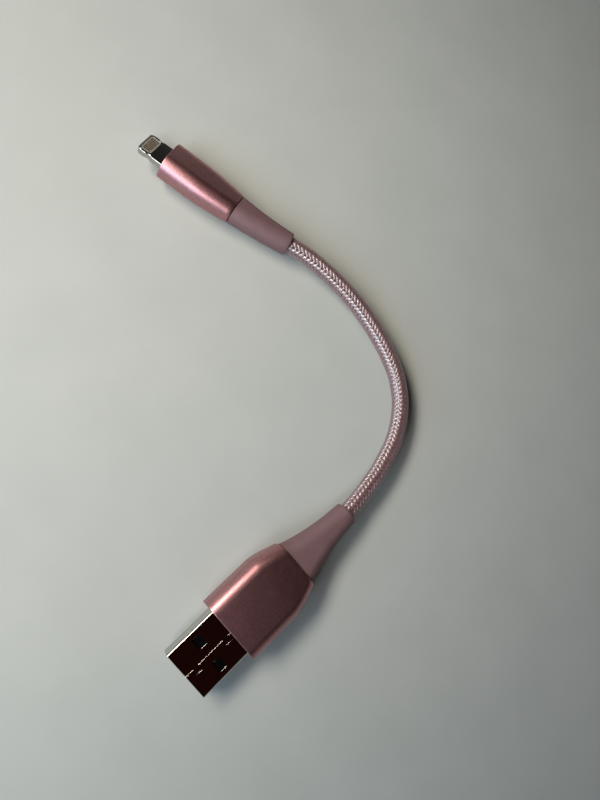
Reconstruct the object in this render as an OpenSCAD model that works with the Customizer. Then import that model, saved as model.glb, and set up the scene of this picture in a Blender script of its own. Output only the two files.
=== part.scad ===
// Short braided charging cable with a flat charger plug at one end and a slim
// reversible phone plug at the other, lying in a curve on a table.
// All sizes in millimetres. Table top at z = 0.

/* [Charger plug] */

// Width of the folded steel shell
shell_width = 12; // [11.9:0.1:12.1]
// Thickness of the folded steel shell
shell_thickness = 4.5; // [4.4:0.1:4.6]
// Sheet thickness of the shell
shell_wall = 0.3; // [0.25:0.01:0.35]
// Length of shell that stands out of the housing
shell_exposed = 12; // [11.5:0.1:13]
// Length of shell that is held inside the housing
shell_held = 6.7; // [5.5:0.1:7]
// Outer corner radius of the shell section
shell_corner = 0.65; // [0.5:0.05:0.8]
// Rounding of the shell's lower front edge, seen from the side
shell_tip_round = 0.8; // [0.4:0.1:1]
// Distance from the tip to the latch windows
window_start = 5.3; // [5:0.1:5.6]
// Length of a latch window along the plug
window_length = 2; // [1.8:0.1:2.3]
// Width of a latch window
window_width = 2.5; // [2.2:0.1:2.7]
// Distance of a window centre from the middle of the plug
window_offset = 3.2; // [3:0.1:3.4]
// Gap between the two folded edges of the shell
seam_gap = 0.08; // [0.06:0.01:0.15]
// Depth of the dovetail tabs of the seam
seam_tab_depth = 1.25; // [1:0.05:1.4]
// Length of the dovetail tabs at their wide ends
seam_tab_length = 1.7; // [1.4:0.1:1.9]
// Thickness of the insulator tongue that carries the contacts
tongue_thickness = 1.9; // [1.8:0.05:2]
// Width of a contact strip
contact_width = 1; // [0.8:0.1:1.1]
// Thickness of a contact strip
contact_thickness = 0.3; // [0.2:0.05:0.35]

/* [Charger housing] */

// Width of the charger housing
charger_housing_width = 15.9; // [15:0.1:17]
// Thickness of the charger housing
charger_housing_thickness = 8.2; // [7.8:0.1:9]
// Corner radius of the charger housing section
charger_housing_corner = 3; // [2.4:0.1:3.4]
// Length of the straight front of the charger housing
charger_straight = 12.7; // [12:0.1:15]
// Length of the tapered back of the charger housing
charger_taper = 6.9; // [6:0.1:9]
// Width of the charger housing at its back edge
charger_back_width = 12.3; // [11.8:0.1:13]
// Thickness of the charger housing at its back edge
charger_back_thickness = 7.2; // [6.8:0.1:7.6]
// Length of the charger strain relief behind the housing
charger_relief_length = 16.8; // [14:0.1:22]

/* [Phone plug] */

// Width of the slim phone plug
phone_plug_width = 6.7; // [6.6:0.05:6.8]
// Thickness of the slim phone plug
phone_plug_thickness = 1.5; // [1.45:0.05:1.6]
// Length of plug that stands out of the housing
phone_plug_exposed = 6.5; // [6.4:0.1:7.5]
// Length of plug that is held inside the housing
phone_plug_held = 5; // [4.5:0.1:6]
// Corner radius of the plug tip seen from above
phone_tip_corner = 1.2; // [0.8:0.1:1.5]
// Rounding of the plug's long edges and of its tip
phone_plug_edge = 0.25; // [0.15:0.05:0.35]
// Length of the contact field along the plug
field_length = 2.6; // [2.4:0.1:3]
// Width of the contact field
field_width = 5.1; // [4.9:0.1:5.3]
// Corner radius of the contact field
field_corner = 0.5; // [0.3:0.1:0.7]
// Distance from the tip to the contact field
field_start = 0.45; // [0.4:0.05:0.8]
// Width of one of the eight contacts
pad_width = 0.36; // [0.3:0.02:0.4]
// Depth of the side notches that the socket spring clicks into
notch_depth = 0.3; // [0.2:0.05:0.45]

/* [Phone housing] */

// Width of the phone housing
phone_housing_width = 9.9; // [9.4:0.1:11]
// Thickness of the phone housing
phone_housing_thickness = 6.5; // [6.3:0.1:7.2]
// Corner radius of the phone housing section
phone_housing_corner = 3; // [2.4:0.1:3.1]
// Length of the straight front of the phone housing
phone_straight = 8.8; // [7.5:0.1:11]
// Length of the tapered back of the phone housing
phone_taper = 9.4; // [8:0.1:12]
// Width of the phone housing at its back edge
phone_back_width = 8.2; // [7.9:0.1:9]
// Thickness of the phone housing at its back edge
phone_back_thickness = 6; // [5.9:0.1:6.3]
// Length of the phone strain relief behind the housing
phone_relief_length = 14.9; // [12:0.1:20]

/* [Housings and strain reliefs] */

// Wall of the aluminium housings
housing_wall = 0.8; // [0.7:0.05:0.9]
// Rounding of the front edges of the housings
edge_round = 0.15; // [0.1:0.05:0.3]
// Wall of the strain reliefs where the cord leaves them
relief_end_wall = 0.7; // [0.5:0.05:0.9]
// Clearance between pieces that are fitted into each other
fit = 0.05; // [0.04:0.01:0.08]

/* [Cord] */

// Outer diameter of the braided sleeve
cord_diameter = 4.2; // [4:0.1:4.4]
// Thickness of the braided sleeve
sleeve_wall = 0.38; // [0.3:0.02:0.46]
// Thickness of the jacket under the sleeve
jacket_wall = 0.38; // [0.3:0.02:0.46]

/* [Lay on the table] */

// Direction in which the cord leaves the charger plug, from the x axis
charger_yaw = 41.4; // [38:0.1:45]
// Direction in which the phone plug points back to the cord, from the x axis
phone_yaw = -31.4; // [-34:0.1:-28]
// Roll of the phone plug about its own axis
phone_roll = -22; // [-32:1:-10]
// Sideways bend of the phone strain relief, in degrees
relief_bend = 7; // [0:0.5:10]
// Height of the middle of the cord in the free curve
cord_height = 3.3; // [2.6:0.1:5]

/* [Hidden] */

// Colours
steel = [0.75, 0.75, 0.77];
rose_gold = [0.86, 0.62, 0.6];
pink_rubber = [0.7, 0.55, 0.59];
pink_braid = [0.83, 0.6, 0.6];
black_plastic = [0.08, 0.08, 0.09];
insert_grey = [0.6, 0.58, 0.54];
gold = [0.85, 0.68, 0.3];
solder_grey = [0.65, 0.66, 0.68];
mould_white = [0.9, 0.9, 0.86];
board_green = [0.1, 0.35, 0.2];

// Small fixed sizes
past = 1;
least_flat = 0.02;
corner_steps = 6;
tip_steps = 8;
sleeve_sides = 12;
jacket_sides = 8;
relief_root = 2;

// The cord from the outside in: the jacket fills the sleeve, and four wires
// fill the jacket
cord_slack = 0.01;
wire_gap = 0.075;
wire_slack = 0.04;
jacket_radius = (cord_diameter / 2 - sleeve_wall) * cos(180 / sleeve_sides)
    - cord_slack;
jacket_diameter = 2 * jacket_radius;
jacket_bore_radius = jacket_radius - jacket_wall;
wire_circle = jacket_bore_radius * cos(180 / jacket_sides) - wire_slack;
wire_diameter = 2 * (wire_circle - wire_gap * sqrt(2)) / (1 + sqrt(2));
wire_seat = wire_diameter / 2 + wire_gap;
wire_seats = [for (y = [1, -1]) for (z = [1, -1]) [y, z] * wire_seat];
wire_lead = 0.5;
relief_end_diameter = cord_diameter + 2 * relief_end_wall;

// Spring-steel clips on the jacket
clip_wall = 0.3;
clip_gap = 0.5;
clip_margin = 1;
jacket_lead = 0.6;
charger_clip_length = 2.5;
phone_clip_length = 1.8;

// Inner pieces of the charger plug
tongue_start = 0.5;
tongue_root = 0.5;
insulator_setback = 1.7;
tail_length = 1;
solder_length = 0.6;
mould_room = 0.5;
seam_tabs = [1.8, 9.7];
seam_tab_flare = 0.25;
contact_rows = [3.5, 1, -1, -3.5];
contact_starts = [1.4, 2.4, 2.4, 1.4];
shell_inner_top = shell_thickness / 2 - shell_wall - fit;
tongue_low = shell_inner_top - tongue_thickness;
charger_relief_step = 0.35;

// Inner pieces of the phone plug
board_thickness = 0.8;
chip_start = 0.8;
chip_length = 2.4;
chip_width = 2.8;
chip_height = 0.7;
shield_wall = 0.2;
shield_room = 0.1;
shield_width = phone_plug_width + 2 * shield_wall + 2 * shield_room;
shield_height = 3.3;
shield_corner = 1.25;
shield_setback = 1.6;
shield_end_gap = 0.8;
shield_to_jacket = 0.3;
shield_hole = jacket_diameter - 0.6;
phone_wire_spread = 0.9;
solder_gap = 0.01;
pad_count = 8;
pad_pitch = 0.56;
pad_margin = 0.35;
pad_depth = 0.15;
pad_clearance = 0.02;
face_step = 0.1;
insert_tail_width = 4.6;
insert_tail_thickness = 0.8;
notch_centre = 2.9;
notch_radius = 0.95;
phone_relief_step = 0.2;

// Stations of the charger end, measured from the tip
charger_front = shell_exposed;
charger_bend = charger_front + charger_straight;
charger_back = charger_bend + charger_taper;
charger_seat = charger_back + fit;
charger_mouth = charger_back + charger_relief_length;
charger_mould_end = charger_back - relief_root;
charger_clip_start = charger_mould_end - clip_margin - charger_clip_length;
charger_jacket_end = charger_clip_start - jacket_lead;
shell_end = shell_exposed + shell_held;
insulator_end = shell_end - insulator_setback;
tail_end = shell_end + tail_length;
charger_wire_end = tail_end + solder_length;
charger_axis = charger_housing_thickness / 2;

// Stations of the phone end, measured from the tip
phone_front = phone_plug_exposed;
phone_bend = phone_front + phone_straight;
phone_back = phone_bend + phone_taper;
phone_seat = phone_back + fit;
phone_mouth = phone_back + phone_relief_length;
phone_mould_end = phone_back - relief_root;
phone_clip_start = phone_mould_end - clip_margin - phone_clip_length;
phone_jacket_end = phone_clip_start - jacket_lead;
shield_start = phone_front + housing_wall + shield_setback;
shield_end = phone_jacket_end - shield_to_jacket;
frame_end = phone_plug_exposed + phone_plug_held;
board_start = frame_end + fit;
board_end = shield_end - shield_end_gap;
phone_wire_end = board_end - solder_length;
phone_axis = (phone_housing_width / 2 - phone_housing_corner) * abs(sin(phone_roll))
    + (phone_housing_thickness / 2 - phone_housing_corner) * cos(phone_roll)
    + phone_housing_corner;

// Route of the cord from the charger relief to the phone relief. The third
// value says how much of the height comes from the charger plug's axis and the
// fourth how much comes from the phone plug's axis.
route = [
    [24.2, -24.4, 1, 0], [28, -20.5, 0.9, 0], [32, -15.8, 0.6, 0],
    [35, -11.3, 0.3, 0], [37.3, -6.9, 0.1, 0], [38.7, -2, 0, 0],
    [39.1, 3, 0, 0], [38.2, 8.5, 0, 0], [36.2, 13.4, 0, 0],
    [33.2, 18.6, 0, 0.1], [30, 23.1, 0, 0.2], [26.5, 27.1, 0, 0.4],
    [22.6, 30.7, 0, 0.6], [18.5, 33.9, 0, 0.8], [14.3, 36.6, 0, 0.95],
    [10.1, 38.7, 0, 1]
];
cord_route = [for (p = route) [p[0], p[1],
    cord_height + p[2] * (charger_axis - cord_height)
    + p[3] * (phone_axis - cord_height)]];
last = len(cord_route) - 1;

// ---- Vector and sweep functions ----

function unit(v) = v / norm(v);
function turn(p, a) = [p[0] * cos(a) - p[1] * sin(a),
    p[0] * sin(a) + p[1] * cos(a)];
function at(path, i) = path[max(0, min(len(path) - 1, i))];
function heading(path, i) = unit(at(path, i + 1) - at(path, i - 1));
function left(h) = unit(cross([0, 0, 1], h));
function over(h) = cross(h, left(h));

// A ring of points round a path point
function ring(path, i, radius, sides) =
    let (h = heading(path, i), l = left(h), o = over(h))
    [for (k = [0 : sides - 1]) let (a = 360 * (k + 0.5) / sides)
        path[i] + radius * (cos(a) * l + sin(a) * o)];

// A rounded rectangle as [y, z] points, turned by roll
function section(width, height, corner, roll = 0) =
    [for (q = [0 : 3]) for (k = [0 : corner_steps])
        let (a = 90 * q + 90 * k / corner_steps,
            y = (q == 0 || q == 3 ? 1 : -1) * (width / 2 - corner),
            z = (q < 2 ? 1 : -1) * (height / 2 - corner))
        turn([y + corner * cos(a), z + corner * sin(a)], roll)];

// Closed skin over equal rings that follow each other
module skin(rings) {
    n = len(rings[0]);
    m = len(rings);
    polyhedron(
        points = [for (r = rings) for (p = r) p],
        faces = concat(
            [[for (k = [0 : n - 1]) k]],
            [[for (k = [n - 1 : -1 : 0]) (m - 1) * n + k]],
            [for (i = [0 : m - 2]) for (k = [0 : n - 1])
                [i * n + k, (i + 1) * n + k, (i + 1) * n + (k + 1) % n]],
            [for (i = [0 : m - 2]) for (k = [0 : n - 1])
                [i * n + k, (i + 1) * n + (k + 1) % n, i * n + (k + 1) % n]]),
        convexity = 6);
}

// Hollow tube between outer and inner rings
module hollow_skin(outer, inner) {
    n = len(outer[0]);
    m = len(outer);
    q = n * m;
    polyhedron(
        points = concat([for (r = outer) for (p = r) p],
            [for (r = inner) for (p = r) p]),
        faces = concat(
            [for (i = [0 : m - 2]) for (k = [0 : n - 1])
                [i * n + k, (i + 1) * n + k, (i + 1) * n + (k + 1) % n]],
            [for (i = [0 : m - 2]) for (k = [0 : n - 1])
                [i * n + k, (i + 1) * n + (k + 1) % n, i * n + (k + 1) % n]],
            [for (i = [0 : m - 2]) for (k = [0 : n - 1])
                [q + i * n + k, q + (i + 1) * n + (k + 1) % n,
                    q + (i + 1) * n + k]],
            [for (i = [0 : m - 2]) for (k = [0 : n - 1])
                [q + i * n + k, q + i * n + (k + 1) % n,
                    q + (i + 1) * n + (k + 1) % n]],
            [for (k = [0 : n - 1])
                [k, (k + 1) % n, q + (k + 1) % n, q + k]],
            [for (k = [0 : n - 1])
                [(m - 1) * n + k, q + (m - 1) * n + k,
                    q + (m - 1) * n + (k + 1) % n,
                    (m - 1) * n + (k + 1) % n]]),
        convexity = 6);
}

// Straight rod between two points
module rod(a, b, diameter) {
    d = b - a;
    translate(a)
        rotate([0, acos(d[2] / norm(d)), atan2(d[1], d[0])])
            cylinder(h = norm(d), d = diameter, $fn = 24);
}

// Rod that runs a quarter of its diameter past both points
module long_rod(a, b, diameter) {
    more = unit(b - a) * diameter / 4;
    rod(a - more, b + more, diameter);
}

// Block given by its low corner and its high corner
module block(low, high) {
    translate(low)
        cube(high - low);
}

// Rounded bar along x: y and z centred
module bar(from, to, width, height, corner) {
    translate([from, 0, 0])
        rotate([90, 0, 90])
            linear_extrude(to - from)
                rounded_outline(width, height, corner);
}

// Round bar along x
module round_bar(from, to, diameter) {
    translate([from, 0, 0])
        rotate([0, 90, 0])
            cylinder(h = to - from, d = diameter, $fn = 48);
}

module rounded_outline(width, height, corner) {
    square([width - 2 * corner, height], center = true);
    square([width, height - 2 * corner], center = true);
    for (sy = [-1, 1], sz = [-1, 1])
        translate([sy * (width / 2 - corner), sz * (height / 2 - corner)])
            circle(r = corner, $fn = 32);
}

// ---- Places of the two plugs ----

module charger_place() {
    translate([cord_route[0][0], cord_route[0][1], charger_axis])
        rotate([0, 0, charger_yaw])
            translate([-charger_mouth, 0, 0])
                children();
}

function charger_point(p) =
    let (t = turn([p[0] - charger_mouth, p[1]], charger_yaw))
    [cord_route[0][0] + t[0], cord_route[0][1] + t[1], charger_axis + p[2]];

// The phone relief leans by a parabola in the table's plane
lean = tan(relief_bend) / (2 * phone_relief_length);
function lean_y(x) = x < phone_back ? 0 : lean * pow(x - phone_back, 2);
function lean_angle(x) = x < phone_back ? 0 : atan(2 * lean * (x - phone_back));

function phone_point(p) =
    let (y = p[1] * cos(phone_roll) - p[2] * sin(phone_roll),
        z = p[1] * sin(phone_roll) + p[2] * cos(phone_roll),
        t = turn([p[0] - phone_mouth, y - lean_y(phone_mouth)], phone_yaw))
    [cord_route[last][0] + t[0], cord_route[last][1] + t[1], phone_axis + z];

module phone_level_place() {
    translate([cord_route[last][0], cord_route[last][1], phone_axis])
        rotate([0, 0, phone_yaw])
            translate([-phone_mouth, -lean_y(phone_mouth), 0])
                children();
}

module phone_place() {
    phone_level_place()
        rotate([phone_roll, 0, 0])
            children();
}

// Middle line of the cord inside the phone relief, from the mouth inwards
function phone_line(x) =
    let (t = turn([x - phone_mouth, lean_y(x) - lean_y(phone_mouth)], phone_yaw))
    [cord_route[last][0] + t[0], cord_route[last][1] + t[1], phone_axis];
phone_relief_line = [for (t = [2 / 3, 1 / 3, 0])
    phone_line(phone_seat + t * (phone_mouth - phone_seat))];

// The sleeve ends at the housings, and the jacket goes on to its clips
sleeve_path = concat([charger_point([charger_seat, 0, 0])], cord_route,
    phone_relief_line);
jacket_path = concat([charger_point([charger_jacket_end, 0, 0])], cord_route,
    phone_relief_line, [phone_line(phone_jacket_end)]);

// Roll of the cord's inside, from the charger plug to the phone plug
function cord_roll(i, n) = -phone_roll * max(0, min(1, (i - 1) / (n - 3)));

// ---- Charger plug ----

module seam_slot(points) {
    for (i = [0 : len(points) - 2]) {
        a = points[i];
        b = points[i + 1];
        translate([a[0], a[1], shell_thickness / 2 - 2 * shell_wall])
            rotate([0, 0, atan2(b[1] - a[1], b[0] - a[0])])
                translate([-seam_gap / 2, -seam_gap / 2, 0])
                    cube([norm(b - a) + seam_gap, seam_gap, 3 * shell_wall]);
    }
}

// Zigzag of the seam: straight runs with a dovetail tab at each tab start
seam_points = concat([[-past, 0]],
    [for (s = seam_tabs) for (p = [[seam_tab_flare, 0], [0, -seam_tab_depth],
        [seam_tab_length, -seam_tab_depth],
        [seam_tab_length - seam_tab_flare, 0]]) [s + p[0], p[1]]],
    [[shell_end + past, 0]]);

// Rounds the lower front edge of the shell from side to side
module shell_tip_cut() {
    r = shell_tip_round;
    low = -shell_thickness / 2;
    difference() {
        block([-past, -shell_width, low - past], [r, shell_width, low + r]);
        translate([r, 0, low + r])
            rotate([90, 0, 0])
                cylinder(h = 2 * shell_width + past, r = r, center = true,
                    $fn = 48);
    }
}

module charger_shell() {
    color(steel)
        charger_place()
            difference() {
                bar(0, shell_end, shell_width, shell_thickness, shell_corner);
                bar(-past, shell_end + past, shell_width - 2 * shell_wall,
                    shell_thickness - 2 * shell_wall, shell_corner - shell_wall);
                for (side = [-1, 1])
                    translate([window_start + window_length / 2,
                            side * window_offset, 0])
                        cube([window_length, window_width,
                            shell_thickness + past], center = true);
                seam_slot(seam_points);
                shell_tip_cut();
            }
}

module contact_strip(k) {
    block([contact_starts[k], contact_rows[k] - contact_width / 2, tongue_low],
        [tail_end, contact_rows[k] + contact_width / 2,
            tongue_low + contact_thickness]);
}

// Space for a contact strip, with its clearance on every side
module contact_room(k, from, to) {
    block([from, contact_rows[k] - contact_width / 2 - fit, tongue_low - fit],
        [to, contact_rows[k] + contact_width / 2 + fit,
            tongue_low + contact_thickness + fit]);
}

module charger_insulator() {
    half = shell_width / 2 - shell_corner - fit;
    color(black_plastic)
        charger_place()
            difference() {
                union() {
                    block([tongue_start, -half, tongue_low],
                        [shell_exposed, half, shell_inner_top]);
                    block([shell_exposed - tongue_root, -half,
                        -shell_inner_top], [insulator_end, half,
                        shell_inner_top]);
                }
                for (k = [0 : 3])
                    contact_room(k, contact_starts[k] - fit,
                        insulator_end + past);
            }
}

module charger_contact_power() {
    color(gold)
        charger_place()
            contact_strip(0);
}

module charger_contact_data_minus() {
    color(gold)
        charger_place()
            contact_strip(1);
}

module charger_contact_data_plus() {
    color(gold)
        charger_place()
            contact_strip(2);
}

module charger_contact_ground() {
    color(gold)
        charger_place()
            contact_strip(3);
}

// Middle of a charger wire where it is soldered to its contact tail
function charger_wire_point(k) =
    [charger_wire_end, contact_rows[k], tongue_low + contact_thickness / 2];

// The wire runs straight for a short lead before it turns to the jacket
function charger_wire_lead(k) = charger_wire_point(k) + [wire_lead, 0, 0];

module charger_solder_joints() {
    color(solder_grey)
        charger_place()
            for (k = [0 : 3])
                rod(charger_wire_point(k) - [solder_length, 0, 0],
                    charger_wire_point(k), wire_diameter);
}

// Spring-steel band closed round the jacket, with the gap of its crimp
module cable_clip(start, length) {
    difference() {
        round_bar(start, start + length, jacket_diameter + 2 * fit + 2 * clip_wall);
        round_bar(start - past, start + length + past, jacket_diameter + 2 * fit);
        block([start - past, -clip_gap / 2, 0],
            [start + length + past, clip_gap / 2, jacket_diameter]);
    }
}

// Space for the end of the jacket and for its clip
module cable_room(from, to, clip_from, clip_length) {
    round_bar(from, to, jacket_diameter + 2 * fit);
    round_bar(clip_from - fit, clip_from + clip_length + fit,
        jacket_diameter + 2 * clip_wall + 4 * fit);
}

module charger_cable_clip() {
    color(steel)
        charger_place()
            cable_clip(charger_clip_start, charger_clip_length);
}

// Outer and inner stations of a housing: [x, width, thickness, corner]
function fall(t) = pow(t, 1.35);
function housing_at(x, bend, back, w, h, bw, bh, corner, inset) =
    let (t = max(0, min(1, (x - bend) / (back - bend))), f = fall(t),
        width = w + (bw - w) * f - 2 * inset,
        height = h + (bh - h) * f - 2 * inset)
    [x, width, height, min(corner - inset, height / 2 - least_flat)];

function charger_at(x, inset) = housing_at(x, charger_bend, charger_back,
    charger_housing_width, charger_housing_thickness, charger_back_width,
    charger_back_thickness, charger_housing_corner, inset);
function phone_at(x, inset) = housing_at(x, phone_bend, phone_back,
    phone_housing_width, phone_housing_thickness, phone_back_width,
    phone_back_thickness, phone_housing_corner, inset);

function station_ring(s, roll = 0) =
    [for (p = section(s[1], s[2], s[3], roll)) [s[0], p[0], p[1]]];
function charger_rings(stations, inset) =
    [for (x = stations) station_ring(charger_at(x, inset))];
function phone_rings(stations, inset) =
    [for (x = stations) station_ring(phone_at(x, inset))];
function eased(from, to) = [for (t = [0.15, 0.35, 0.6, 0.8])
    from + (to - from) * t];

charger_mid = concat([charger_bend], eased(charger_bend, charger_back));
phone_mid = concat([phone_bend], eased(phone_bend, phone_back));

module charger_housing() {
    r = edge_round;
    outer = concat(
        [station_ring(charger_at(charger_front, r))],
        [station_ring(charger_at(charger_front + 0.3 * r, 0.3 * r))],
        charger_rings(concat([charger_front + r], charger_mid), 0),
        [station_ring(charger_at(charger_back - 0.4 * r, 0))],
        [station_ring(charger_at(charger_back, 0.4 * r))]);
    bore = charger_rings(concat([charger_front + housing_wall], charger_mid,
        [charger_back + past]), housing_wall);
    color(rose_gold)
        charger_place()
            difference() {
                skin(outer);
                skin(bore);
                bar(charger_front - past, charger_front + 2 * past,
                    shell_width + 2 * fit, shell_thickness + 2 * fit,
                    shell_corner + fit);
            }
}

module charger_inner_mould() {
    stations = [for (x = concat([charger_front + housing_wall + fit],
        charger_mid, [charger_mould_end])) if (x <= charger_mould_end) x];
    channel = wire_diameter + 4 * fit;
    color(mould_white)
        charger_place()
            difference() {
                skin(charger_rings(stations, housing_wall + fit));
                bar(charger_front, shell_end + fit, shell_width + 2 * fit,
                    shell_thickness + 2 * fit, shell_corner + fit);
                for (k = [0 : 3]) {
                    contact_room(k, shell_end, tail_end + fit);
                    long_rod(charger_wire_point(k) - [solder_length, 0, 0],
                        charger_wire_lead(k), channel);
                    long_rod(charger_wire_lead(k), [charger_jacket_end,
                        wire_seats[k][0], wire_seats[k][1]], channel);
                }
                cable_room(charger_jacket_end - mould_room, charger_mouth,
                    charger_clip_start, charger_clip_length);
            }
}

// How much of the charger relief's root is left at points along its length:
// [share of the length, share of the width, share of the thickness]
relief_steps = [[0, 1, 1], [0.16, 0.72, 0.72], [0.33, 0.48, 0.46],
    [0.6, 0.2, 0.18], [0.84, 0.06, 0.05], [1, 0, 0]];

// Size of a relief between its root and the cord: [x, width, thickness, corner]
function relief_at(x, root_width, root_height, share_w, share_h) =
    let (w = relief_end_diameter + (root_width - relief_end_diameter) * share_w,
        h = relief_end_diameter + (root_height - relief_end_diameter) * share_h)
    [x, w, h, min(w, h) / 2 - least_flat];

module charger_strain_relief() {
    root_width = charger_back_width - 2 * charger_relief_step;
    root_height = charger_back_thickness - 2 * charger_relief_step;
    root = [for (x = [charger_mould_end + fit, charger_seat])
        station_ring(charger_at(x, housing_wall + fit))];
    body = [for (s = relief_steps)
        station_ring(relief_at(charger_seat + s[0] * (charger_mouth - charger_seat),
            root_width, root_height, s[1], s[2]))];
    color(pink_rubber)
        charger_place()
            difference() {
                skin(concat(root, body));
                round_bar(charger_mould_end, charger_seat + past,
                    jacket_diameter + 2 * fit);
                round_bar(charger_back, charger_mouth + past,
                    cord_diameter + 2 * fit);
            }
}

// ---- Cord ----

module braided_sleeve() {
    n = len(sleeve_path);
    inner = cord_diameter / 2 - sleeve_wall;
    color(pink_braid)
        hollow_skin(
            [for (i = [0 : n - 1])
                ring(sleeve_path, i, cord_diameter / 2, sleeve_sides)],
            [for (i = [0 : n - 1]) ring(sleeve_path, i, inner, sleeve_sides)]);
}

module cable_jacket() {
    n = len(jacket_path);
    color(black_plastic)
        hollow_skin(
            [for (i = [0 : n - 1])
                ring(jacket_path, i, jacket_radius, jacket_sides)],
            [for (i = [0 : n - 1])
                ring(jacket_path, i, jacket_bore_radius, jacket_sides)]);
}

// End of a phone wire on the board: two above and two below it
function phone_wire_point(k) = [phone_wire_end,
    -sign(wire_seats[k][0]) * phone_wire_spread,
    sign(wire_seats[k][1])
        * ((board_thickness + wire_diameter) / 2 + solder_gap)];

function seat_point(path, i, k) =
    let (h = heading(path, i), l = left(h), o = over(h),
        s = turn(wire_seats[k], cord_roll(i, len(path))))
    path[i] + s[0] * l + s[1] * o;

function wire_path(k) = concat(
    [charger_point(charger_wire_point(k)), charger_point(charger_wire_lead(k))],
    [for (i = [0 : len(jacket_path) - 1]) seat_point(jacket_path, i, k)],
    [phone_point(phone_wire_point(k) + [wire_lead, 0, 0]),
        phone_point(phone_wire_point(k))]);

module wire(k, tint) {
    path = wire_path(k);
    color(tint)
        skin([for (i = [0 : len(path) - 1])
            ring(path, i, wire_diameter / 2, 8)]);
}

module power_wire() {
    wire(0, [0.75, 0.1, 0.1]);
}

module data_minus_wire() {
    wire(1, [0.9, 0.9, 0.9]);
}

module data_plus_wire() {
    wire(2, [0.1, 0.5, 0.2]);
}

module ground_wire() {
    wire(3, [0.1, 0.1, 0.1]);
}

// ---- Phone plug ----

// How far a rounding of radius r holds back an edge at x from its start
function rounding(x, r) = x < r ? r - sqrt(r * r - pow(r - x, 2)) : 0;

notch_half = sqrt(pow(notch_radius, 2) - pow(notch_radius - notch_depth, 2));
function notch_at(x) = abs(x - notch_centre) < notch_half
    ? sqrt(pow(notch_radius, 2) - pow(x - notch_centre, 2))
        - (notch_radius - notch_depth)
    : 0;

// The plug's section at x from its tip
function plug_ring(x) = station_ring([x,
    phone_plug_width - 2 * rounding(x, phone_tip_corner) - 2 * notch_at(x),
    phone_plug_thickness - 2 * rounding(x, phone_plug_edge), phone_plug_edge]);
plug_stations = concat(
    [for (k = [0 : tip_steps])
        phone_tip_corner * (1 - cos(90 * k / tip_steps))],
    [for (k = [-tip_steps / 2 : tip_steps / 2])
        let (x = notch_centre + notch_half * sin(180 * k / tip_steps))
            if (x > phone_tip_corner) x],
    [frame_end]);

// Outline of the contact field, smaller all round by inset
module field_block(inset, height) {
    translate([field_start + field_length / 2, 0, -height / 2])
        linear_extrude(height)
            rounded_outline(field_length - 2 * inset, field_width - 2 * inset,
                field_corner - inset);
}

module phone_plug_frame() {
    color(steel)
        phone_place()
            difference() {
                skin([for (x = plug_stations) plug_ring(x)]);
                field_block(0, 2 * phone_plug_thickness);
                block([field_start + field_length / 2,
                        -insert_tail_width / 2 - fit,
                        -insert_tail_thickness / 2 - fit],
                    [frame_end + past, insert_tail_width / 2 + fit,
                        insert_tail_thickness / 2 + fit]);
            }
}

function pad_y(k) = (k - (pad_count - 1) / 2) * pad_pitch;

module pads(side, grow) {
    face = phone_plug_thickness / 2 - face_step;
    for (k = [0 : pad_count - 1])
        translate([field_start + field_length / 2, pad_y(k),
                side * (face - pad_depth / 2 + grow / 2)])
            cube([field_length - 2 * pad_margin + 2 * grow,
                pad_width + 2 * grow, pad_depth + grow], center = true);
}

module phone_plug_insert() {
    color(insert_grey)
        phone_place()
            difference() {
                union() {
                    field_block(fit, phone_plug_thickness - 2 * face_step);
                    block([field_start + field_length / 2,
                            -insert_tail_width / 2, -insert_tail_thickness / 2],
                        [frame_end, insert_tail_width / 2,
                            insert_tail_thickness / 2]);
                }
                pads(1, pad_clearance);
                pads(-1, pad_clearance);
            }
}

module phone_contacts_top() {
    color(gold)
        phone_place()
            pads(1, 0);
}

module phone_contacts_bottom() {
    color(gold)
        phone_place()
            pads(-1, 0);
}

module phone_board() {
    color(board_green)
        phone_place()
            block([board_start, -phone_plug_width / 2, -board_thickness / 2],
                [board_end, phone_plug_width / 2, board_thickness / 2]);
}

module phone_chip() {
    color(black_plastic)
        phone_place()
            block([board_start + chip_start, -chip_width / 2,
                    board_thickness / 2],
                [board_start + chip_start + chip_length, chip_width / 2,
                    board_thickness / 2 + chip_height]);
}

module phone_solder_joints() {
    color(solder_grey)
        phone_place()
            for (k = [0 : 3])
                rod(phone_wire_point(k) - [solder_length, 0, 0],
                    phone_wire_point(k), wire_diameter);
}

// Upper half of the stamped shield: open round the plug and for the wires
module shield_shell() {
    difference() {
        bar(shield_start, shield_end, shield_width, shield_height,
            shield_corner);
        bar(shield_start + shield_wall, shield_end - shield_wall,
            shield_width - 2 * shield_wall, shield_height - 2 * shield_wall,
            shield_corner - shield_wall);
        block([shield_start - past, -shield_width, -shield_height],
            [shield_end + past, shield_width, fit / 2]);
        block([shield_start - past, -phone_plug_width / 2 - fit, -past],
            [shield_start + past, phone_plug_width / 2 + fit,
                phone_plug_thickness / 2 + fit]);
        round_bar(shield_end - past, shield_end + past, shield_hole);
    }
}

module phone_shield_upper() {
    color(steel)
        phone_place()
            shield_shell();
}

module phone_shield_lower() {
    color(steel)
        phone_place()
            rotate([180, 0, 0])
                shield_shell();
}

module phone_cable_clip() {
    color(steel)
        phone_place()
            cable_clip(phone_clip_start, phone_clip_length);
}

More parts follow.
